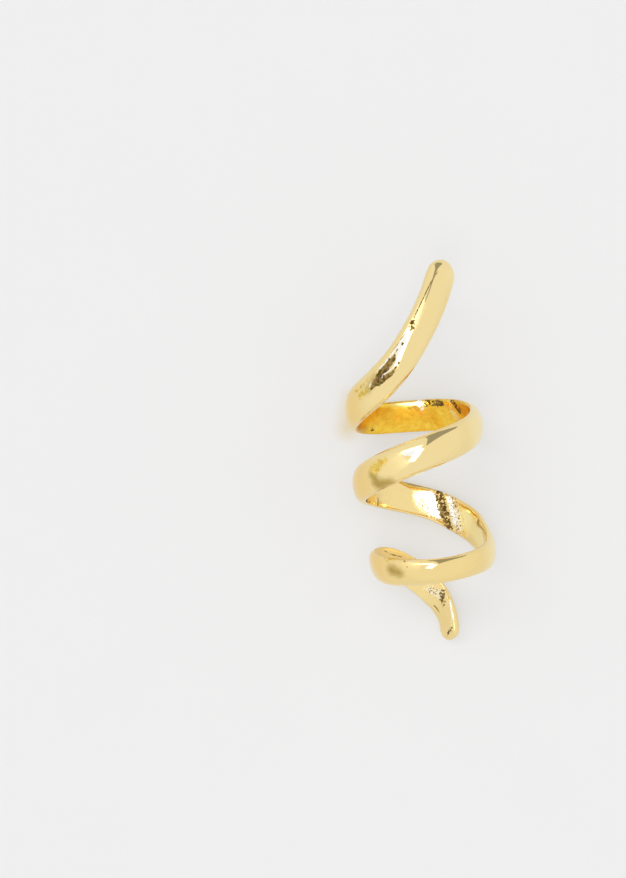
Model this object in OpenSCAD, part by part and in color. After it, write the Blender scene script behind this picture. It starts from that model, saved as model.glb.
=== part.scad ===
// Twisted drop earring. One cast ribbon of metal, crowned outside and flatter inside, winds about two
// and a half turns round an empty core. It runs out into a long tail at the top, with a straight post
// behind it for the ear, and into a short tail at the bottom. It lies on the backs of its turns.
// Millimetres. +Y runs up the earring, +Z away from the surface it lies on, and the origin is on that
// surface below the middle of its outline.

/* [Coil] */
// distance from the coil's axis to the middle of the band
coil_reach = 9; // [8.5:0.1:10]
// how far the coil is drawn out along its axis, 1 as made
coil_stretch = 1; // [0.95:0.01:1.2]
// distance from the coil's axis to the flat that the backs of the turns rest on
rest_depth = 10.6; // [10:0.1:11.5]
// softness of the shoulder where the backs run into that flat
rest_shoulder = 0.8; // [0.4:0.1:1]

/* [Band] */
// usual width of the band
band_w = 5; // [4.2:0.1:5.4]
// usual thickness of the band, from its crown to its inner face
band_t = 2; // [1.4:0.1:2.4]
// share of the thickness that the crowned outer side takes
crown_share = 0.72; // [0.6:0.01:0.8]
// roundness of the crowned side, 2 for an ellipse
crown_power = 2.1; // [2:0.1:3]
// flatness of the inner side, higher for a flatter face with tighter edges
back_power = 4.5; // [3:0.5:6]
// length of the rounding at the top tip
top_round = 2.3; // [1.5:0.1:3]
// length of the rounding at the bottom tip
bottom_round = 1.6; // [1.2:0.1:2]

/* [Ear post] */
// diameter of the post that goes through the ear lobe
post_d = 0.8; // [0.7:0.05:1]
// length from the band's inner face to the post's tip
post_len = 10; // [8:0.5:12]
// distance of the post from the top tip, along the band
post_from_tip = 4.5; // [3:0.5:8]
// gap between the rim of the post's root and the band's inner face
post_gap = 0.32; // [0.25:0.01:0.4]

/* [Smoothness] */
// points round the band's section
section_points = 24; // [16:2:26]
// steps along the band between its rounded tips
band_steps = 200; // [120:10:220]
// steps over each rounded tip
tip_steps = 8; // [5:1:9]

/* [Hidden] */
pale_gold = [0.90, 0.76, 0.42];
post_gold = [0.86, 0.74, 0.45];

// The band's sections from the top tip to the bottom tip, one row each. turn goes round the axis in
// degrees: 90 is the front, 180 the left, 270 the back, 360 the right, and 450 the front again. out is
// how far the middle of the band is beyond coil_reach, and drop how far down the axis, both in mm.
// width and thick are shares of band_w and band_t. lean turns the outer face about the band's own
// line, in degrees.
TURN = 0;
OUT = 1;
DROP = 2;
WIDTH = 3;
THICK = 4;
LEAN = 5;
band_rows = [
  // top tail, in front of the axis
  [43.5, 1.7, -22.3, 0.84, 0.90, 6],
  [50.2, 1.6, -20.2, 0.95, 0.95, 6],
  [61, 1.3, -16.6, 0.97, 0.95, -2],
  [75.7, 1.0, -12.7, 0.97, 0.95, -9],
  [96, 0.6, -8.5, 0.97, 1.00, -10],
  [120, 0.2, -5.4, 1.02, 1.00, -5],
  [148, 0.0, -3.3, 1.04, 1.00, 0],
  // first turn, over the back
  [180, -0.3, -1.9, 0.96, 1.00, 3],
  [225, 0.4, -0.7, 0.95, 1.00, 10],
  [270, 1.0, -0.2, 0.99, 1.00, 12],
  [315, 0.3, 0.6, 0.99, 1.00, 9],
  [360, -0.1, 2.3, 1.00, 1.00, -2],
  // first front pass
  [400, 0.1, 3.9, 1.02, 1.00, -8],
  [450, 0.3, 5.7, 1.04, 1.00, -7],
  [500, 0.1, 7.7, 1.04, 1.00, -2],
  [540, 0.1, 9.1, 1.00, 0.95, 0],
  // second turn, over the back
  [585, 0.4, 10.5, 0.97, 0.88, 0],
  [630, 1.0, 13.0, 0.94, 0.85, 0],
  [670, 0.4, 16.9, 1.02, 0.83, 0],
  [694, -0.3, 19.4, 1.02, 0.80, 0],
  [725, -0.6, 21.6, 0.88, 0.80, -8],
  // second front pass
  [765, -0.6, 22.7, 0.79, 0.75, -18],
  [810, -0.3, 23.1, 0.81, 0.75, -26],
  [860, -0.4, 22.3, 0.94, 0.75, -22],
  [900, -0.5, 21.3, 0.94, 0.70, -8],
  // bottom tail, behind the axis
  [940, -0.4, 21.2, 0.90, 0.70, 4],
  [970, -0.3, 23.7, 0.90, 0.75, 14],
  [989, -0.2, 27.2, 0.90, 0.84, 34],
  [997, -0.3, 30.6, 0.88, 0.90, 50],
  [997, -0.3, 34.3, 0.78, 0.85, 52],
];
last_row = len(band_rows) - 1;

function unit(v) = v / norm(v);
function ease(t) = t * t * (3 - 2 * t);

// A row of the table. Past either end the table goes on in a straight line.
function row(i) =
  i < 0 ? 2 * band_rows[0] - band_rows[1]
  : i > last_row ? 2 * band_rows[last_row] - band_rows[last_row - 1]
  : band_rows[i];

// The parabola through three neighbouring rows, t rows away from the middle one.
function bow(a, b, c, t) = b + (c - a) * t / 2 + (a - 2 * b + c) * t * t / 2;

// The section at place s, which counts rows from the top tip. Two parabolas cover each stretch between
// rows, and easing from one into the other keeps the band's curvature smooth through every row.
function section_at(s) =
  let (i = min(floor(s), last_row - 1), t = s - i)
  bow(row(i - 1), row(i), row(i + 1), t) * (1 - ease(t))
  + bow(row(i), row(i + 1), row(i + 2), t - 1) * ease(t);

// The band's middle line, with the coil's axis along Y. Where the crown would stand out further back
// than rest_depth, the line is pressed flat, over a soft shoulder.
function softer_min(a, b) = (a + b - norm([a - b, rest_shoulder])) / 2;
function middle(s) =
  let (c = section_at(s), reach = coil_reach + c[OUT])
  let (crown = crown_share * band_t * c[THICK])
  let (back = softer_min(-reach * sin(c[TURN]), rest_depth - crown))
  [reach * cos(c[TURN]), -coil_stretch * c[DROP], -back];

// Three directions at place s: along the band, out of its crowned face, and across its width.
line_step = 0.01;
function along(s) = unit(middle(min(s + line_step, last_row)) - middle(max(s - line_step, 0)));
function outward(s) =
  let (c = section_at(s), t = along(s), spoke = [cos(c[TURN]), 0, sin(c[TURN])])
  let (n = unit(spoke - (spoke * t) * t))
  n * cos(c[LEAN]) + cross(t, n) * sin(c[LEAN]);
function across(s) = cross(along(s), outward(s));

// The middle line is measured in short steps, so that a distance along the band gives a place in rows.
walk_per_row = 12;
walk = [for (k = [0 : last_row * walk_per_row]) k / walk_per_row];
walk_steps = [for (k = [1 : len(walk) - 1]) norm(middle(walk[k]) - middle(walk[k - 1]))];
walk_dist = [for (k = 0, d = 0; k < len(walk); d = d + (k < len(walk_steps) ? walk_steps[k] : 0), k = k + 1) d];
place_by_dist = [for (k = [0 : len(walk) - 1]) [walk_dist[k], walk[k]]];
band_len = walk_dist[len(walk) - 1];
function place(d) = lookup(d, place_by_dist);

// Distances of the sections from the top tip, closer together where the tips round off.
function tip_dists(r) = [for (k = [1 : tip_steps]) r * (1 - cos(90 * k / tip_steps))];
body_len = band_len - top_round - bottom_round;
body_dists = [for (k = [1 : band_steps - 1]) top_round + body_len * k / band_steps];
bottom_dists = tip_dists(bottom_round);
section_dists = concat(
  tip_dists(top_round),
  body_dists,
  [for (k = [tip_steps - 1 : -1 : 0]) band_len - bottom_dists[k]]
);

// Share of the full section that is left at distance d from a tip that rounds off over length r.
function tip_share(d, r) = d >= r ? 1 : sqrt(1 - pow(1 - d / r, 2));
function share_at(d) = min(tip_share(d, top_round), tip_share(band_len - d, bottom_round));

// The section's outline for a width and a thickness of 1: a full crown above its widest line, and a
// shallow, nearly flat inner face below it.
function swell(v, power) = sign(v) * pow(abs(v), 2 / power);
function outline_point(a) =
  let (power = sin(a) >= 0 ? crown_power : back_power)
  let (depth = sin(a) >= 0 ? crown_share : 1 - crown_share)
  [swell(cos(a), power) / 2, depth * swell(sin(a), power)];
outline = [for (k = [0 : section_points - 1]) outline_point(360 * k / section_points)];

function section_ring(d) =
  let (s = place(d), c = section_at(s), share = share_at(d), m = middle(s))
  let (w = across(s) * band_w * c[WIDTH] * share, t = outward(s) * band_t * c[THICK] * share)
  [for (p = outline) m + w * p[0] + t * p[1]];

// The band's skin before it is set down on the surface: the top tip, the sections, the bottom tip.
coil_points = concat(
  [middle(0)],
  [for (d = section_dists) each section_ring(d)],
  [middle(last_row)]
);
coil_low = [for (i = [0 : 2]) min([for (p = coil_points) p[i]])];
coil_high = [for (i = [0 : 2]) max([for (p = coil_points) p[i]])];
set_down = [-(coil_low[0] + coil_high[0]) / 2, -(coil_low[1] + coil_high[1]) / 2, -coil_low[2]];
band_points = [for (p = coil_points) p + set_down];

// Triangles between neighbouring sections, and a fan over each tip.
rings = len(section_dists);
function at(i, k) = 1 + i * section_points + k % section_points;
bottom_tip = 1 + rings * section_points;
band_faces = concat(
  [for (k = [0 : section_points - 1]) [0, at(0, k + 1), at(0, k)]],
  [for (i = [0 : rings - 2], k = [0 : section_points - 1]) [at(i, k), at(i + 1, k + 1), at(i + 1, k)]],
  [for (i = [0 : rings - 2], k = [0 : section_points - 1]) [at(i, k), at(i, k + 1), at(i + 1, k + 1)]],
  [for (k = [0 : section_points - 1]) [bottom_tip, at(rings - 1, k), at(rings - 1, k + 1)]]
);

module spiral_band() {
  color(pale_gold)
  polyhedron(points = band_points, faces = band_faces, convexity = 10);
}

// The post points straight back. Its flat root ends post_gap short of the band's inner face, which
// slopes there, so the gap is measured from the rim of the root.
post_place = place(post_from_tip);
post_out = outward(post_place);
inner_depth = (1 - crown_share) * band_t * section_at(post_place)[THICK];
post_seat = middle(post_place) + set_down - post_out * inner_depth;
post_r = post_d / 2;
seat_slope = norm([post_out[0], post_out[1]]) / post_out[2];
root_drop = post_r * seat_slope + post_gap / post_out[2];

module ear_post() {
  color(post_gold)
  translate(post_seat - [0, 0, post_len]) {
    translate([0, 0, post_r]) sphere(r = post_r, $fn = 32);
    translate([0, 0, post_r]) cylinder(h = post_len - post_r - root_drop, r = post_r, $fn = 32);
  }
}

spiral_band();
ear_post();
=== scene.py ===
# %% [markdown]
# # A twisted drop earring, dressed for its portrait
# The solids of this earring were made in a CAD program: one cast ribbon of metal wound into an open
# coil, and the straight post that goes through the ear. They come in here as a fixed frame, in metres.
# This lesson gives them their looks. It makes a smoother skin for the ribbon, models a post with a
# rounded tip and a bead of solder, and works out the gold finish, the floor, the light and the camera.

# %% Load the frame
import math
import bpy
import numpy as np
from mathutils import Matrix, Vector


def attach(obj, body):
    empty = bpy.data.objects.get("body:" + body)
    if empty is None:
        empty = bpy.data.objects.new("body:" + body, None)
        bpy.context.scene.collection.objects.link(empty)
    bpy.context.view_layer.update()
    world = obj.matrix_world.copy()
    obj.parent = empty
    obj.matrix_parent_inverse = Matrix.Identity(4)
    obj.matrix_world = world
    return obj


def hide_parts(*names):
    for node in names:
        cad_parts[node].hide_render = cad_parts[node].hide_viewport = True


mm = 0.001
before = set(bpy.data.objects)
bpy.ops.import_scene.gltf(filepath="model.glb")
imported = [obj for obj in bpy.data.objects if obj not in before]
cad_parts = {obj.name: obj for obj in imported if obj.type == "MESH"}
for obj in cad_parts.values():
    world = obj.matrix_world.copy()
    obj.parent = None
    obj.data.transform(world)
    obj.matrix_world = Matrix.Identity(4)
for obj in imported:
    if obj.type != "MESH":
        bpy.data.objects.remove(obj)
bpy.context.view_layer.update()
print("CAD nodes:", sorted(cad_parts))

# %% [markdown]
# ## The ribbon's skin
# The real ribbon is cast in one piece and then polished on a wheel, so its outer face flows without a
# single facet. The CAD solid is made of small flat triangles, and a mirror finish would show each one.
# One could model the ribbon again from nothing, but its shape is already right. So a copy of the solid
# is taken, its loose triangles are merged and paired into four-sided faces, and a Subdivision Surface
# rounds it. Faces with four sides matter here, because triangles leave ripples in a mirror.

# %% Helpers for working on one object
def pick_only(piece):
    """Deselects everything else, and makes the piece the active object."""
    bpy.ops.object.select_all(action="DESELECT")
    piece.select_set(True)
    bpy.context.view_layer.objects.active = piece


def add_modifier(piece, kind, **settings):
    """Adds a modifier with these settings and applies it straight away."""
    pick_only(piece)
    modifier = piece.modifiers.new(kind.title(), kind)
    for name, value in settings.items():
        setattr(modifier, name, value)
    bpy.ops.object.modifier_apply(modifier=modifier.name)


# %% Copy the ribbon, merge it and pair its triangles
merge_distance = 1e-6
pairing_angle = math.radians(60)
ribbon = bpy.data.objects.new("gold_ribbon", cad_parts["spiral_band"].data.copy())
bpy.context.scene.collection.objects.link(ribbon)
pick_only(ribbon)
bpy.ops.object.mode_set(mode="EDIT")
bpy.ops.mesh.select_all(action="SELECT")
bpy.ops.mesh.remove_doubles(threshold=merge_distance)
bpy.ops.mesh.tris_convert_to_quads(face_threshold=pairing_angle, shape_threshold=pairing_angle)
bpy.ops.object.mode_set(mode="OBJECT")
sides = [len(face.vertices) for face in ribbon.data.polygons]
print("ribbon:", len(ribbon.data.vertices), "points")
print("ribbon:", sides.count(4), "faces with four sides,", sides.count(3), "with three")

# %% Round it
add_modifier(ribbon, "SUBSURF", levels=2, render_levels=2)
bpy.ops.object.shade_smooth()
print("rounded ribbon:", len(ribbon.data.polygons), "faces")

# %% [markdown]
# ## Which side is which
# The ribbon's outer face is polished, and its inner face, which the wheel can't reach, is left as it
# came from the mould. The finish has to know which is which. A spot on the ribbon looks outwards where
# its surface points away from the coil's axis, so that is worked out for each point of the mesh and
# kept with it as an attribute that the material can read.

# %% Mark the inner face
# The coil's axis runs through this point, along Y. Across the ribbon's edge the mark ramps from 0 to 1.
coil_axis = Vector((0.000067, 0.0, 0.010504))
edge_ramp = 0.5


def points_and_normals(mesh):
    """The mesh's points and its normals there, as two tables with a row for each point."""
    points = np.zeros(len(mesh.vertices) * 3)
    normals = np.zeros(len(mesh.vertices) * 3)
    mesh.vertices.foreach_get("co", points)
    mesh.vertex_normals.foreach_get("vector", normals)
    return points.reshape(-1, 3), normals.reshape(-1, 3)


points, normals = points_and_normals(ribbon.data)
spokes = (points - np.array(coil_axis)) * (1, 0, 1)
spokes /= np.linalg.norm(spokes, axis=1)[:, None]
facing_out = (normals * spokes).sum(1)
inner = np.clip(0.5 - facing_out / edge_ramp, 0, 1)
mark = ribbon.data.attributes.new("inner_face", "FLOAT", "POINT")
mark.data.foreach_set("value", inner.astype(np.float32))
print("share of the points on the inner face:", round(float((inner > 0.5).mean()), 2))

# %% [markdown]
# ## Shader maths that reads like maths
# A finish is worked out by a web of nodes, and a long web is hard to read as code. So a small class
# wraps a node's output and overloads the signs of plain maths: an expression such as 1 - mask adds the
# Math node that it needs. Every other node comes from one method, which takes the node's type, its
# settings and what goes into its sockets.

# %% A wire
class Wire:
    """An output socket in a finish's node tree. Plain maths on it adds Math nodes, and a | b is the
    larger of the two."""

    def __init__(self, finish, socket):
        self.finish, self.socket = finish, socket

    def __add__(self, other):
        return self.finish.maths("ADD", self, other)

    def __radd__(self, other):
        return self.finish.maths("ADD", other, self)

    def __sub__(self, other):
        return self.finish.maths("SUBTRACT", self, other)

    def __rsub__(self, other):
        return self.finish.maths("SUBTRACT", other, self)

    def __mul__(self, other):
        return self.finish.maths("MULTIPLY", self, other)

    def __or__(self, other):
        return self.finish.maths("MAXIMUM", self, other)


# %% A finish
class Finish:
    """A material or world, and the nodes that make it."""

    def __init__(self, owner):
        owner.use_nodes = True
        self.owner, self.tree = owner, owner.node_tree
        self.tree.nodes.clear()

    def node(self, kind, settings=None, sockets=None, output=0):
        """Adds a node, sets it up, fills its sockets with values or wires, and returns a wire from the
        output of that name or number."""
        made = self.tree.nodes.new("ShaderNode" + kind)
        for name, value in (settings or {}).items():
            setattr(made, name, value)
        for name, value in (sockets or {}).items():
            if isinstance(value, Wire):
                self.tree.links.new(value.socket, made.inputs[name])
            else:
                made.inputs[name].default_value = value
        return Wire(self, made.outputs[output]) if len(made.outputs) else None

    def maths(self, operation, first, second=0.0):
        """A Math node on one or two numbers, or wires."""
        return self.node("Math", {"operation": operation}, {0: first, 1: second})

    def dot(self, wire, direction):
        """The dot product of a vector's wire and a fixed direction."""
        sockets = {0: wire, 1: tuple(direction)}
        return self.node("VectorMath", {"operation": "DOT_PRODUCT"}, sockets, "Value")

    def fade(self, value, low, high, to_low=0.0, to_high=1.0):
        """A smooth step of the value, from to_low at low to to_high at high."""
        return self.node(
            "MapRange",
            {"interpolation_type": "SMOOTHSTEP"},
            {"Value": value, "From Min": low, "From Max": high, "To Min": to_low, "To Max": to_high},
        )

    def blend(self, share, first, second):
        """A mix of two colours, (r, g, b, 1) or wires. On a Mix node they are sockets 6 and 7."""
        return self.node("Mix", {"data_type": "RGBA"}, {0: share, 6: first, 7: second}, 2)

    def blend_places(self, share, first, second):
        """A mix of two fixed places. On a Mix node they are sockets 4 and 5."""
        sockets = {0: share, 4: tuple(first), 5: tuple(second)}
        return self.node("Mix", {"data_type": "VECTOR"}, sockets, 1)

    def cloud(self, place, per_metre, detail=2.0, roughness=0.5):
        """Soft noise from 0 to 1, with about this many patches to a metre."""
        sockets = {"Vector": place, "Scale": per_metre, "Detail": detail, "Roughness": roughness}
        return self.node("TexNoise", sockets=sockets)


# %% [markdown]
# ## The gold finish
# The metal is brass with a thin pale gold plate. On the outer face it is a near mirror, and its colour
# holds painted reflection tones: warmer on the left bends and the lower turn, fairer on the right ones.
# Where the wheel only brushed the surface it is satin, with dim reflections painted in as smoky
# shades, and a few deep yellow spots. The inner face keeps the coarse grain of the casting, and painted
# light: a deeper gold on the first turn for gold mirrored in gold, painted shade in its corners, a paler
# strip along its top for a painted highlight, a stretch painted brighter for the light it mirrors, and
# painted glints and dark flecks on the grain. A few thin marks on both faces are painted highlights and
# painted dark reflections. All of that could be painted on a picture, but nodes keep it sharp at
# any distance. So each layer is noise of a size in the metal's own scale, inside marks that are laid
# along the ribbon.

# %% [markdown]
# ## Marks along the ribbon
# A mark is a path: points along the ribbon with x, y and z in mm, and with how far the mark reaches
# round each of them, in mm too. A reach of 0 leaves only the mark's soft edge.

# %% Marks on the inner face
# the first turn: its deeper gold, painted for gold mirrored in gold, the strip along its top where a
# painted highlight lifts it, and the painted shade in its corners
painted_gold_bounce = [
    [(-8.2, 5.7, 10.0, 2.4), (-6.0, 5.6, 3.0, 3.4), (6.0, 5.6, 3.6, 3.4), (8.2, 6.2, 8.0, 2.4)],
]
painted_top_highlight = [
    [(-2.6, 8.3, 2.4, 0.3), (1.6, 7.8, 2.4, 1.0)],
    [(1.3, 7.8, 2.4, 0.8), (1.6, 6.5, 2.3, 0.4)],
    [(6.0, 7.0, 4.4, 0.6), (6.8, 5.0, 5.2, 0.7)],
]
painted_corner_shade = [
    [(-8.4, 5.4, 11.0, 1.3), (-7.2, 5.2, 5.4, 0.5)],
    [(7.0, 6.8, 5.6, 0.3), (7.9, 5.6, 7.2, 0.5)],
]
# the skin of the casting: coarse patches, painted glints and dark flecks, a stretch painted brighter
# for the light it mirrors, a dull one and a ridge
coarse_skin = [
    [(-0.3, -7.2, 1.8, 0.4), (1.4, -9.4, 1.8, 0.6)],
    [(3.0, -6.4, 2.0, 1.7), (4.6, -11.8, 2.6, 1.7)],
    [(-1.0, -20.6, 2.3, 0.8), (1.2, -22.0, 3.2, 1.2)],
    [(2.0, 7.6, 2.4, 0.7), (4.8, 7.5, 3.4, 0.7)],
    [(6.3, 7.3, 4.9, 0.7), (7.6, 6.0, 6.6, 0.7)],
]
painted_flecks = [
    [(-0.7, -6.9, 1.8, 0.3), (0.9, -9.2, 1.8, 0.4)],
    [(4.3, -7.4, 2.5, 0.5), (4.6, -9.2, 2.8, 0.7), (4.7, -12.0, 2.8, 0.6)],
    [(-0.9, -20.5, 2.4, 0.5), (0.7, -21.4, 2.9, 0.8)],
]
painted_bright_reflection = [[(4.9, -9.6, 3.2, 1.2), (7.6, -13.0, 7.2, 1.8)]]
dull_inside = [[(-7.8, -13.7, 9.0, 1.8), (-4.0, -14.4, 3.4, 1.8)]]
casting_ridge = [[(3.4, -6.4, 2.1, 0.0), (4.5, -12.3, 2.6, 0.0)]]

# %% Marks on the outer face
# the bends that are only brushed, with dim reflections painted in as smoky shades, and yellow spots
brushed_bends = [
    [(-3.4, -0.6, 20.6, 1.5), (-7.0, -2.4, 18.2, 2.4)],
    [(-3.4, -15.8, 20.0, 1.3), (-7.0, -17.0, 17.4, 2.4)],
    [(3.4, 22.0, 21.6, 0.9), (1.8, 19.6, 21.8, 0.9)],
]
painted_dim_reflections = [
    [(-7.3, -1.9, 18.1, 0.6), (-6.5, -3.3, 18.2, 1.0), (-4.9, -3.2, 19.2, 0.5)],
    [(-6.4, -16.2, 18.0, 0.8), (-5.4, -16.8, 18.7, 0.6)],
    [(-4.8, 12.4, 20.1, 0.4), (-6.4, 10.6, 18.9, 0.4)],
]
yellow_spots = [
    [(-5.2, 0.0, 19.7, 0.5), (-6.9, -0.9, 18.4, 0.9)],
    [(-5.8, 12.4, 19.3, 0.0), (-7.8, 10.8, 17.4, 0.3)],
    [(-5.9, 11.2, 19.3, 0.0), (-7.4, 10.0, 17.9, 0.5)],
    [(-6.9, -14.6, 17.3, 0.3), (-6.0, -14.6, 18.0, 0.3)],
]

# %% Painted highlights on both faces
painted_highlights = [
    # top tail
    [(0.9, 18.4, 21.8, 0.2), (-0.1, 17.0, 21.8, 0.55), (-0.9, 15.6, 21.7, 0.4), (-1.3, 14.7, 21.5, 0.15)],
    [(-0.5, 16.9, 21.7, 0.2), (-2.1, 15.3, 21.3, 0.12), (-4.1, 13.5, 20.5, 0.08)],
    # first turn and first front pass
    [(1.5, 7.9, 2.4, 0.5), (1.9, 6.8, 2.3, 0.2)],
    [(-2.4, 0.6, 20.9, 0.1), (-1.2, 0.6, 21.2, 0.5), (-0.3, 0.7, 21.3, 0.7)],
    # second turn and second front pass
    [(1.0, -6.5, 1.8, 1.0), (2.1, -9.8, 1.8, 0.4)],
    [(4.0, -7.0, 2.3, 0.35), (4.4, -10.9, 2.6, 0.5)],
    [(-3.9, -15.1, 19.7, 0.2), (-2.4, -15.2, 20.3, 0.25)],
    # bottom tail
    [(1.9, -22.5, 3.7, 0.08), (1.9, -24.7, 4.0, 0.14), (1.5, -26.3, 3.6, 0.05)],
]
painted_rim_highlights = [
    # a painted highlight between the two lobes of the painted dark reflection on the top tail, and at its
    # end
    [
        (-1.3, 14.7, 21.5, 0.14),
        (-1.6, 14.1, 21.4, 0.07),
        (-2.2, 13.4, 21.2, 0.06),
        (-2.9, 13.0, 21.0, 0.07),
        (-3.7, 12.6, 20.6, 0.08),
        (-3.9, 12.2, 20.5, 0.05),
    ],
    [(-5.6, 12.0, 19.6, 0.06), (-5.9, 11.2, 19.3, 0.1)],
]

# %% Painted dark reflections on both faces
painted_dark_spots = [
    [(1.8, 19.9, 21.7, 0.3), (1.5, 18.9, 21.8, 0.4)],
    [(2.5, -6.3, 1.9, 0.6), (2.7, -8.7, 1.9, 0.75), (3.4, -11.4, 2.0, 0.5)],
    [(2.5, 7.7, 2.5, 0.4), (4.8, 7.4, 3.3, 0.45)],
    [(6.3, 7.4, 4.9, 0.3), (7.2, 5.9, 6.0, 0.5)],
    [(0.9, -21.2, 3.1, 0.45), (0.8, -22.8, 2.9, 0.3)],
    [(1.5, -26.6, 3.5, 0.1), (0.9, -27.5, 2.4, 0.2)],
    [(-6.3, 4.8, 3.9, 0.15), (-5.9, 4.8, 3.6, 0.15)],
]
painted_dark_patch = [
    # a painted dark reflection: two lobes on the top tail, and two spots above them
    [
        (-1.6, 15.3, 21.5, 0.1),
        (-1.9, 14.8, 21.4, 0.38),
        (-3.0, 13.7, 21.1, 0.52),
        (-4.3, 12.6, 20.5, 0.5),
        (-5.0, 11.6, 19.9, 0.5),
        (-5.8, 10.7, 19.4, 0.1),
    ],
    [(-1.0, 14.2, 21.4, 0.1), (-1.9, 13.2, 21.2, 0.18), (-2.5, 12.6, 21.1, 0.35), (-4.6, 11.6, 20.1, 0.5)],
    [(-0.1, 16.8, 21.7, 0.2), (-0.2, 16.7, 21.7, 0.12)],
    [(-1.1, 16.0, 21.6, 0.14), (-1.3, 15.7, 21.5, 0.08)],
]
painted_dark_lines = [
    # top tail
    [(6.5, 26.7, 20.2, 0.04), (5.1, 25.0, 20.8, 0.1), (3.3, 22.3, 21.3, 0.09), (1.8, 20.0, 21.7, 0.08)],
    [(0.3, 18.1, 21.7, 0.07), (-0.9, 16.8, 21.5, 0.05), (-2.0, 15.7, 21.2, 0.03)],
    # bottom tail
    [(-0.5, -23.0, 1.6, 0.12), (0.1, -24.0, 1.7, 0.08)],
    # second turn and second front pass
    [(-6.9, -13.5, 6.4, 0.06), (-5.8, -14.3, 5.0, 0.1), (-4.4, -14.9, 3.8, 0.06)],
    [(-4.4, -15.0, 19.3, 0.1), (-4.3, -15.2, 19.4, 0.1)],
    [(-4.1, -16.0, 19.6, 0.1), (-4.0, -16.1, 19.6, 0.05)],
]


# %% From marks to a mask
def stroke(finish, place, start, end, ragged, ragged_mm, soft_mm):
    """A mask that is 1 between two points of a path, out to the reach of each, and 0 far from them."""
    (*start_mm, reach), (*end_mm, end_reach) = start, end
    first, last = Vector(start_mm) * mm, Vector(end_mm) * mm
    line = last - first
    ends = {"From Min": first.dot(line), "From Max": last.dot(line)}
    share = finish.node("MapRange", sockets={"Value": finish.dot(place, line), **ends})
    nearest = finish.blend_places(share, first, last)
    away = finish.node("VectorMath", {"operation": "DISTANCE"}, {0: place, 1: nearest}, "Value")
    away = away - share * ((end_reach - reach) * mm) + (ragged - 0.5) * (2 * ragged_mm * mm)
    return finish.fade(away, (reach + soft_mm / 2) * mm, (reach - soft_mm / 2) * mm)


def strokes(finish, place, paths, ragged, ragged_mm=0.5, soft_mm=0.8):
    """A mask of all the paths together. The ragged noise pushes its edge in and out by up to ragged_mm,
    and soft_mm is the width of its soft edge."""
    mask = None
    for path in paths:
        for start, end in zip(path, path[1:]):
            near = stroke(finish, place, start, end, ragged, ragged_mm, soft_mm)
            mask = near if mask is None else mask | near
    return mask


# %% Noises for the ribbon
gold = Finish(bpy.data.materials.new("pale_gold_plate"))
where = gold.node("TexCoord", output="Object")
inside = gold.fade(gold.node("Attribute", {"attribute_name": "inner_face"}, output="Fac"), 0.35, 0.75)
outside = 1 - inside
slow_cloud = gold.cloud(where, 220, detail=3)
fine_cloud = gold.cloud(where, 1500, detail=4, roughness=0.6)
grain = gold.cloud(where, 2600, detail=2)
sharp_grain = gold.cloud(where, 4200, detail=2)


def laid(paths, ragged, **edge):
    """A mask of these paths on the ribbon."""
    return strokes(gold, where, paths, ragged, **edge)


# %% Masks for the ribbon
# painted gold mirrored in gold on the first turn
gold_bounce = laid(painted_gold_bounce, slow_cloud, soft_mm=1.2) * inside
# a painted highlight strip that lifts the deeper gold
top_highlight = laid(painted_top_highlight, grain, ragged_mm=0.9, soft_mm=0.5) * inside
# painted shade in the corners
corner_shade = laid(painted_corner_shade, slow_cloud, soft_mm=2.0) * inside
# a stretch painted brighter for the light it mirrors
bright_reflection = laid(painted_bright_reflection, slow_cloud, soft_mm=1.6) * inside
dull = laid(dull_inside, slow_cloud, soft_mm=1.2) * inside
ridge = laid(casting_ridge, fine_cloud, ragged_mm=0.3, soft_mm=3.6) * inside
coarse = laid(coarse_skin, grain, ragged_mm=0.8, soft_mm=0.5)
# painted glints and dark flecks on the grainy skin
fleck_mask = laid(painted_flecks, grain, ragged_mm=1.0, soft_mm=0.3)
brushed = laid(brushed_bends, slow_cloud, soft_mm=1.6) * outside
# painted dim reflections on the outer face
dim_reflection = laid(painted_dim_reflections, fine_cloud, soft_mm=1.6) * outside
yellow = laid(yellow_spots, fine_cloud, ragged_mm=0.6, soft_mm=0.6) * outside
# painted highlight rims
rim_highlight = laid(painted_rim_highlights, grain, ragged_mm=0.1, soft_mm=0.08)
# painted highlights, with glints in the flecks
highlight = laid(painted_highlights, grain, ragged_mm=0.25, soft_mm=0.15)
highlight = highlight | fleck_mask * gold.fade(sharp_grain, 0.50, 0.46) * 0.8
# painted dark reflections, with dark flecks
dark_reflection = laid(painted_dark_spots, grain, ragged_mm=0.7, soft_mm=0.12) * gold.fade(grain, 0.60, 0.54)
dark_reflection = dark_reflection | laid(painted_dark_patch, fine_cloud, ragged_mm=0.35, soft_mm=0.12)
# painted dark reflection lines
dark_reflection = dark_reflection | laid(painted_dark_lines, grain, ragged_mm=0.1, soft_mm=0.1)
dark_reflection = dark_reflection | fleck_mask * gold.fade(sharp_grain, 0.57, 0.60)

# %% Where reflection tones are painted warmer and fairer on the outer face
to_right = gold.node("SeparateXYZ", sockets={0: where}, output="X")
to_top = gold.node("SeparateXYZ", sockets={0: where}, output="Y")
left_bends = gold.fade(to_right, -6.5 * mm, -9.2 * mm)
lower_turn = gold.fade(to_top, -12 * mm, -16 * mm)
right_bends = gold.fade(to_right, 7.0 * mm, 9.5 * mm)
print("masks for the ribbon:", len(gold.tree.nodes), "nodes so far")

# %% [markdown]
# ## Colour, polish and relief
# The masks lie on top of each other like coats of paint, the widest first and the smallest marks last.
# A metal's colour tints all that it mirrors, so the painted highlights are almost untinted, and the
# painted dark reflections are nearly black.

# %% Colours of the plate: red, green, blue and opacity
polished_dark, polished_light = (0.91, 0.72, 0.335, 1), (0.93, 0.75, 0.37, 1)
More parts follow.
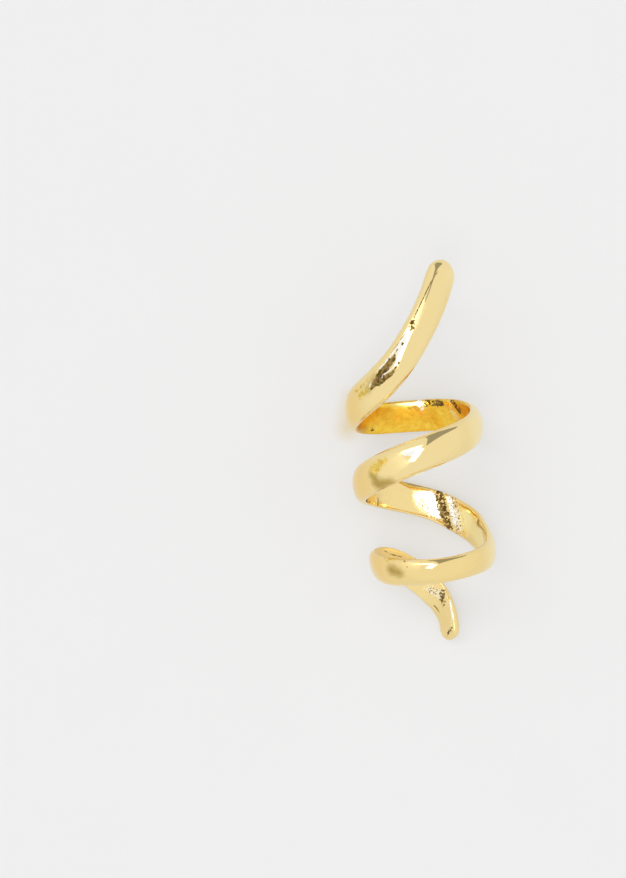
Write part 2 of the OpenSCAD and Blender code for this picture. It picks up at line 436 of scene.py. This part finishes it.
# painted reflection tones for the sides, and the colour of painted dim reflections
warm_reflection_gold, fair_reflection_gold = (0.93, 0.68, 0.265, 1), (0.98, 0.82, 0.44, 1)
dim_reflection_gold = (0.50, 0.35, 0.09, 1)
yellow_dark, yellow_light = (0.68, 0.44, 0.06, 1), (0.95, 0.71, 0.20, 1)
inner_dark, inner_light = (0.91, 0.69, 0.28, 1), (0.95, 0.76, 0.37, 1)
# colours of painted light on the inner face: gold mirrored in gold, a brighter reflection, corner shade,
# dark reflections and highlights
bounce_dark, bounce_light = (0.88, 0.51, 0.045, 1), (0.95, 0.66, 0.09, 1)
bright_reflection_gold, corner_shade_gold = (1.0, 0.83, 0.38, 1), (0.66, 0.34, 0.04, 1)
reflection_black, reflection_brown = (0.12, 0.075, 0.015, 1), (0.33, 0.22, 0.075, 1)
highlight_white, rim_highlight_white = (1.0, 0.97, 0.88, 1), (1.0, 0.97, 0.90, 1)

# %% Colour
outer_gold = gold.blend(slow_cloud, polished_dark, polished_light)
# painted reflection tones: warmer on the left bends and lower turn, fairer on the right bends
outer_gold = gold.blend(left_bends + lower_turn * 0.35, outer_gold, warm_reflection_gold)
outer_gold = gold.blend(right_bends, outer_gold, fair_reflection_gold)
# painted dim reflections
outer_gold = gold.blend(dim_reflection, outer_gold, dim_reflection_gold)
yellow_tone = gold.blend(gold.fade(fine_cloud, 0.35, 0.65), yellow_dark, yellow_light)
outer_gold = gold.blend(yellow, outer_gold, yellow_tone)
inner_gold = gold.blend(fine_cloud, inner_dark, inner_light)
# a stretch painted brighter for the light it mirrors
inner_gold = gold.blend(bright_reflection, inner_gold, bright_reflection_gold)
gold_bounce_tone = gold.blend(gold.fade(fine_cloud, 0.3, 0.7), bounce_dark, bounce_light)
# painted gold mirrored in gold, lifted where the highlight strip is painted
inner_gold = gold.blend(gold_bounce * (1 - top_highlight * 0.6), inner_gold, gold_bounce_tone)
# painted corner shade
inner_gold = gold.blend(corner_shade, inner_gold, corner_shade_gold)
gold_colour = gold.blend(inside, outer_gold, inner_gold)
# painted highlights
gold_colour = gold.blend(highlight, gold_colour, highlight_white)
dark_reflection_tone = gold.blend(gold.fade(fine_cloud, 0.42, 0.60), reflection_black, reflection_brown)
# painted dark reflections
gold_colour = gold.blend(dark_reflection, gold_colour, dark_reflection_tone)
# painted highlight rims
gold_colour = gold.blend(rim_highlight, gold_colour, rim_highlight_white)

# %% Polish
# Each mask adds its own roughness to that of the mirror.
mirror_rough = 0.05
gold_rough = mirror_rough + fine_cloud * 0.03 + inside * 0.04 + brushed * 0.3
gold_rough = gold_rough + gold_bounce * (1 - top_highlight) * 0.16 + yellow * 0.1 + dark_reflection * 0.3 + dull * 0.3

# %% Relief
# Heights are shares of relief_mm.
relief_mm = 0.06
wavy = gold.cloud(where, 380, detail=1.5)
ripple = gold.cloud(where, 1500, detail=2)
pits = gold.fade(sharp_grain, 0.60, 0.68)
height = wavy * 0.22 + ripple * (0.06 + inside * 0.05) + coarse * (grain * 1.1 - pits * 0.4)
height = height + yellow * grain * 0.3 + ridge * 8
relief = gold.node("Bump", sockets={"Strength": 1.0, "Distance": relief_mm * mm, "Height": height})

# %% Put the gold on the ribbon
gold_sheen = gold.node(
    "BsdfPrincipled",
    sockets={"Base Color": gold_colour, "Metallic": 1.0, "Roughness": gold_rough, "Normal": relief},
)
gold.node("OutputMaterial", sockets={"Surface": gold_sheen})
ribbon.data.materials.clear()
ribbon.data.materials.append(gold.owner)
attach(ribbon, "root")
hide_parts("spiral_band")
print("gold finish:", len(gold.tree.nodes), "nodes")

# %% [markdown]
# ## The ear post
# Behind the top tail stands a straight wire that goes through the ear. It is cut from round wire, its
# tip is rounded so that it doesn't scratch, and a bead of solder holds its root to the ribbon. In the
# photograph it is hidden, so it is made from what such posts usually are. A cylinder with a Bevel
# modifier gives the wire and its round tip, and a flattened ball, laid along the ribbon's inner face,
# gives the bead.

# %% Find where the post meets the ribbon
wire_points, _ = points_and_normals(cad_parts["ear_post"].data)
wire_low, wire_high = Vector(wire_points.min(0)), Vector(wire_points.max(0))
wire_r = (wire_high.x - wire_low.x) / 2
wire_tip = Vector(((wire_low.x + wire_high.x) / 2, (wire_low.y + wire_high.y) / 2, wire_low.z))
bpy.context.view_layer.update()
_, seat, seat_normal, _ = ribbon.ray_cast(wire_tip, Vector((0, 0, 1)))
wire_len = seat.z - wire_tip.z
print("post in mm: radius", round(wire_r / mm, 2), "length", round(wire_len / mm, 2))

# %% The wire
tip_rounding = wire_r * 0.85
rim_angle = math.radians(60)
wire_middle = wire_tip + Vector((0, 0, wire_len / 2))
bpy.ops.mesh.primitive_cylinder_add(vertices=48, radius=wire_r, depth=wire_len, location=wire_middle)
post = bpy.context.object
post.name = "post_and_solder"
bpy.ops.object.transform_apply(location=True, rotation=True, scale=True)
add_modifier(
    post, "BEVEL", width=tip_rounding, segments=8, limit_method="ANGLE", angle_limit=rim_angle
)
print("wire:", len(post.data.polygons), "faces")

# %% The bead of solder
bead_r = wire_r * 2.1
bead_flatness = 0.38
bead_turn = seat_normal.to_track_quat("Z", "Y").to_euler()
bpy.ops.mesh.primitive_uv_sphere_add(
    segments=40, ring_count=20, radius=bead_r, location=seat, rotation=bead_turn
)
bead = bpy.context.object
bead.scale = (1, 1, bead_flatness)
bpy.ops.object.transform_apply(location=True, rotation=True, scale=True)
print("bead:", len(bead.data.polygons), "faces")

# %% Gold for the post, and a duller one for the solder
wire_dark, wire_light = (0.90, 0.70, 0.33, 1), (0.93, 0.75, 0.39, 1)


def wire_gold(name, scale, rough, relief_mm):
    """A gold plate over fine drawn lines along the wire, or over the grain of solder."""
    plate = Finish(bpy.data.materials.new(name))
    along_wire = plate.node(
        "Mapping", sockets={"Vector": plate.node("TexCoord", output="Object"), "Scale": scale}
    )
    lines = plate.cloud(along_wire, 7000, detail=2)
    colour = plate.blend(lines, wire_dark, wire_light)
    relief = plate.node("Bump", sockets={"Distance": relief_mm * mm, "Height": lines})
    sheen = plate.node(
        "BsdfPrincipled",
        sockets={"Base Color": colour, "Metallic": 1.0, "Roughness": rough + lines * 0.1, "Normal": relief},
    )
    plate.node("OutputMaterial", sockets={"Surface": sheen})
    return plate.owner


post.data.materials.append(wire_gold("post_gold", (1, 1, 0.05), rough=0.1, relief_mm=0.01))
bead.data.materials.append(wire_gold("solder_gold", (0.4, 0.4, 0.4), rough=0.25, relief_mm=0.03))

# %% Join the bead to the post
pick_only(post)
bead.select_set(True)
bpy.ops.object.join()
bpy.ops.object.shade_smooth_by_angle(angle=math.radians(40))
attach(post, "root")
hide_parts("ear_post")
print("post and solder:", len(post.data.polygons), "faces")

# %% [markdown]
# ## The floor
# The earring lies on a sheet of white acrylic with a light under it, as small jewels are often
# photographed. It leaves almost no shadow. Beside the first turn a soft warm glow, of light thrown down
# by the gold, is painted on it. A flat sheet is enough, as long as it runs far past the view. About half
# of its white is its own light, and the painted glow tints both halves.

# %% A sheet of glowing white
# It lies a hair below the earring, so that the two surfaces never meet.
sheet_size = 6.0
sheet_drop = 0.02 * mm
bpy.ops.mesh.primitive_plane_add(size=sheet_size, location=(0, 0, -sheet_drop))
floor = bpy.context.object
floor.name = "white_sheet"
sheet = Finish(bpy.data.materials.new("white_acrylic"))
where = sheet.node("TexCoord", output="Object")
milk = sheet.cloud(where, 60, detail=3)
# a painted warm glow beside the first turn
painted_glow_spot = [[(-9.0, 10.2, 0.0, -0.4), (-9.8, 5.7, 0.0, 0.5)]]
painted_glow = strokes(sheet, where, painted_glow_spot, milk, ragged_mm=0.6, soft_mm=5.6)

# %% Its colour and its own light
milk_dark, milk_light = (0.445, 0.445, 0.445, 1), (0.455, 0.455, 0.455, 1)
# the painted warm glow tints the sheet's colour and its own light
glow_tint = (0.40, 0.315, 0.145, 1)
white_light, glow_light = (1.0, 1.0, 1.0, 1), (0.89, 0.70, 0.32, 1)
own_light = 0.395
sheet_colour = sheet.blend(painted_glow, sheet.blend(milk, milk_dark, milk_light), glow_tint)
sheet_skin = sheet.node("BsdfDiffuse", sockets={"Color": sheet_colour, "Roughness": 0.4})
light_colour = sheet.blend(painted_glow, white_light, glow_light)
sheet_glow = sheet.node("Emission", sockets={"Color": light_colour, "Strength": own_light})
sheet_both = sheet.node("AddShader", sockets={0: sheet_skin, 1: sheet_glow})
sheet.node("OutputMaterial", sockets={"Surface": sheet_both})
floor.data.materials.append(sheet.owner)
print("floor:", round(sheet_size, 1), "m of white sheet,", len(sheet.tree.nodes), "nodes")

# %% [markdown]
# ## The light
# Bright metal shows the room around it, so the room is the light. The earring lies in a white tent that
# glows almost evenly, a little less towards the floor, and least of all low on the left. What gives the
# gold its shape are the few places where the tent isn't evenly white: the open seam that the
# photographer looks in through, and two lamps behind the cloth. Each is a streak of sky, worked out
# from the angles between a ray and a few named directions.

# %% Directions in the tent
# The picture is turned this far against the coil's axis.
picture_turn = math.radians(8)
picture_right = Vector((math.cos(picture_turn), -math.sin(picture_turn), 0))
picture_up = Vector((math.sin(picture_turn), math.cos(picture_turn), 0))
overhead = Vector((0, 0, 1))
one_radian = math.degrees(1)
tent = Finish(bpy.data.worlds.new("white_tent"))
bpy.context.scene.world = tent.owner
ray = tent.node("TexCoord", output="Generated")


def sky(side_deg, from_top_deg):
    """The direction at this angle from straight up, towards this side of the picture (90 is its top)."""
    side, down = math.radians(side_deg), math.radians(from_top_deg)
    level = picture_right * math.cos(side) + picture_up * math.sin(side)
    return level * math.sin(down) + overhead * math.cos(down)


def towards(direction):
    """How far the ray points this way: 1 straight along it, 0 across it."""
    return tent.dot(ray, direction)


# %% A streak of sky
def streak(start, end, half_start, half_end, soft):
    """A streak of sky from one direction to another. half_start and half_end are how far it reaches to
    each side there, and soft is the width of its soft edge, all in degrees."""
    across = start.cross(end).normalized()
    onward = across.cross(start)
    length = math.degrees(start.angle(end))
    ahead = tent.maths("ARCTAN2", towards(onward), towards(start)) * one_radian
    aside = tent.maths("ARCSINE", tent.maths("ABSOLUTE", towards(across))) * one_radian
    reach = {"From Min": 0.0, "From Max": length, "To Min": half_start, "To Max": half_end}
    half = tent.node("MapRange", sockets={"Value": ahead, **reach})
    within = tent.fade(aside - half, soft / 2, -soft / 2)
    return within * tent.fade(ahead, -soft, 0) * tent.fade(ahead, length + soft, length)


# %% The tent's level, its seam and its lamps
# The level falls between 60 and 100 degrees from straight up. The other values are shares of it.
tent_level = 0.95
level_at_floor = 0.88
gain_on_right = 0.03
lamp_glow = 4
seam_shade = 0.6
from_top = tent.maths("ARCCOSINE", towards(overhead)) * one_radian
on_right = tent.fade(towards(sky(0, 90)), -0.5, 0.8)
level = tent.fade(from_top, 60, 100, tent_level, level_at_floor + on_right * gain_on_right)
seam_top = streak(sky(55, 18), sky(75, 76), half_start=1, half_end=24, soft=2)
seam_foot = streak(sky(75, 76), sky(82, 118), half_start=24, half_end=10, soft=2)
upper_lamp = streak(sky(100, 16), sky(152, 40), half_start=6, half_end=3, soft=4)
lower_lamp = streak(sky(-110, 21), sky(75, 6), half_start=6, half_end=6, soft=3)
tent_glow = (level + (upper_lamp | lower_lamp) * lamp_glow) * (1 - (seam_top | seam_foot) * seam_shade)
backdrop = tent.node("Background", sockets={"Color": white_light, "Strength": tent_glow})
tent.node("OutputWorld", sockets={"Surface": backdrop})
print("tent:", len(tent.tree.nodes), "nodes")

# %% [markdown]
# ## The camera
# The photograph was taken from straight above. The camera hangs 0.7 m over the coil's axis, turned a
# little about its line of sight, with a long lens that takes in the same field.

# %% The camera overhead
# Its place puts the earring where the photograph has it.
photo_mm_per_pixel = 0.15
photo_height_px = 878
camera_height = 0.7
camera_x, camera_y = -15.25 * mm, 4.68 * mm
sensor_mm = 36
lens = bpy.data.cameras.new("overhead_camera")
lens.sensor_width = sensor_mm
lens.lens = sensor_mm * camera_height * 1000 / (photo_mm_per_pixel * photo_height_px)
lens.clip_start = 0.01
camera = bpy.data.objects.new("overhead_camera", lens)
camera.location = (camera_x, camera_y, camera_height + coil_axis.z)
camera.rotation_euler = (0, 0, -picture_turn)
bpy.context.scene.collection.objects.link(camera)
bpy.context.scene.camera = camera
bpy.context.scene.view_settings.view_transform = "Standard"
print("lens in mm:", round(lens.lens, 2))
